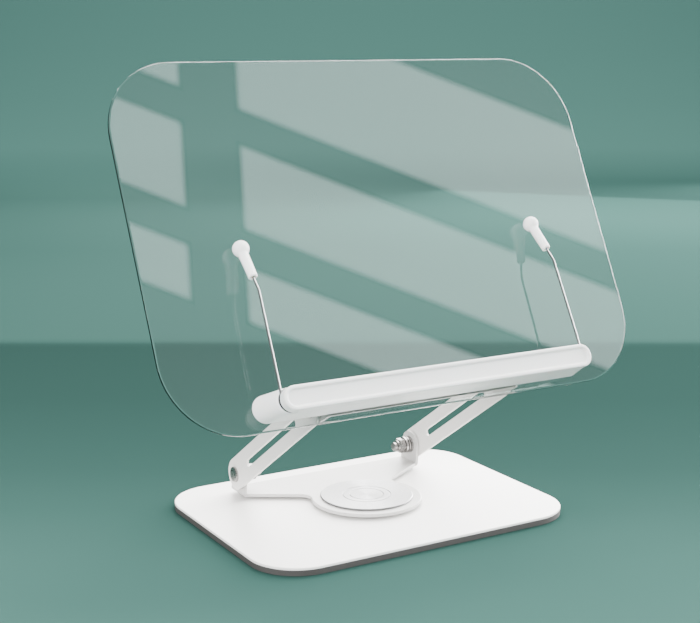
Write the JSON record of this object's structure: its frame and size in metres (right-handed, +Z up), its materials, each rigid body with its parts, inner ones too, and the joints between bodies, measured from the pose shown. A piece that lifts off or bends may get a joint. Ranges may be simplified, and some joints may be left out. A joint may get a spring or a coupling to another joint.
{
  "type": "reading stand",
  "caption": "Clear tilting reading panel with a book ledge and wire page holders, on slotted arms over a swivel base plate.",
  "frame": {"origin": "centre of the mat's underside, on the swivel axis", "axes": "+X to the reader's right along the panel, -Y towards the reader, +Z up"},
  "size_m": [0.36, 0.1927, 0.313],
  "materials": {
    "mat_rubber": "fine matt, moulded",
    "plate_white": "white powder coat, satin",
    "bracket_white": "white powder coat, satin",
    "arm_white": "warm white powder coat, satin",
    "bearing_steel": "ground",
    "bush_nylon": "plain nylon",
    "adhesive": "dark foam tape",
    "cap_aluminium": "spun, circular brushed",
    "pad_foam": "soft translucent pad",
    "clear_acrylic": "clear, polished edges",
    "ledge_plastic": "white moulded, satin gloss",
    "strip_rubber": "soft grey, ribbed",
    "pivot_steel": "nickel plated",
    "insert_brass": "plain",
    "friction_fibre": "dark fibre",
    "wire_steel": "drawn stainless wire",
    "tip_plastic": "white soft plastic, smooth"
  },
  "bodies": {
    "base": {"base_mat": "mat_rubber", "base_plate": "plate_white", "lower_wear_ring": "bearing_steel", "wear_ring_rivets": "bearing_steel", "swivel_spindle": "bearing_steel", "spindle_retainer": "bearing_steel"},
    "swivel": {"swivel_bracket": "bracket_white", "upper_wear_ring": "bearing_steel", "bracket_rivets": "bearing_steel", "glide_ring": "bush_nylon", "swivel_bush": "bush_nylon", "cap_adhesive": "adhesive", "swivel_cap": "cap_aluminium"},
    "arms": {"left_arm": "arm_white", "right_arm": "arm_white", "lower_pivot_bolts": "pivot_steel", "lower_lock_nuts": "pivot_steel", "lower_flat_washers": "pivot_steel", "lower_disc_springs": "pivot_steel", "lower_friction_washers": "friction_fibre", "upper_pivot_bolts": "pivot_steel", "upper_lock_nuts": "pivot_steel", "upper_flat_washers": "pivot_steel", "upper_disc_springs": "pivot_steel", "upper_friction_washers": "friction_fibre"},
    "panel": {"upper_bracket": "bracket_white", "bracket_pad": "pad_foam", "acrylic_panel": "clear_acrylic", "ledge_body": "ledge_plastic", "ledge_lip": "ledge_plastic", "grip_strip": "strip_rubber", "ledge_screws": "pivot_steel", "ledge_inserts": "insert_brass", "lip_screws": "pivot_steel", "holder_friction_pads": "friction_fibre"},
    "left_page_holder": {"left_holder_wire": "wire_steel", "left_holder_tip": "tip_plastic"},
    "right_page_holder": {"right_holder_wire": "wire_steel", "right_holder_tip": "tip_plastic"}
  },
  "joints": [
    {"name": "base_swivel", "type": "hinge", "parent": "base", "child": "swivel", "pos_m": [0, 0, 0], "axis": [0, 0, 1], "continuous": true},
    {"name": "arms_lift", "type": "hinge", "parent": "swivel", "child": "arms", "pos_m": [0, 0.055, 0.0226], "axis": [1, 0, 0], "range_deg": [-35, 28]},
    {"name": "panel_tilt", "type": "hinge", "parent": "arms", "child": "panel", "pos_m": [0, -0.05373, 0.09567], "axis": [-1, 0, 0], "range_deg": [-15, 85]},
    {"name": "left_holder_swing", "type": "hinge", "parent": "panel", "child": "left_page_holder", "pos_m": [-0.112, -0.09287, 0.11601], "axis": [0, -0.8955, 0.4451], "range_deg": [0, 110]},
    {"name": "right_holder_swing", "type": "hinge", "parent": "panel", "child": "right_page_holder", "pos_m": [0.112, -0.09287, 0.11601], "axis": [0, -0.8955, 0.4451], "range_deg": [-110, 0]}
  ]
}
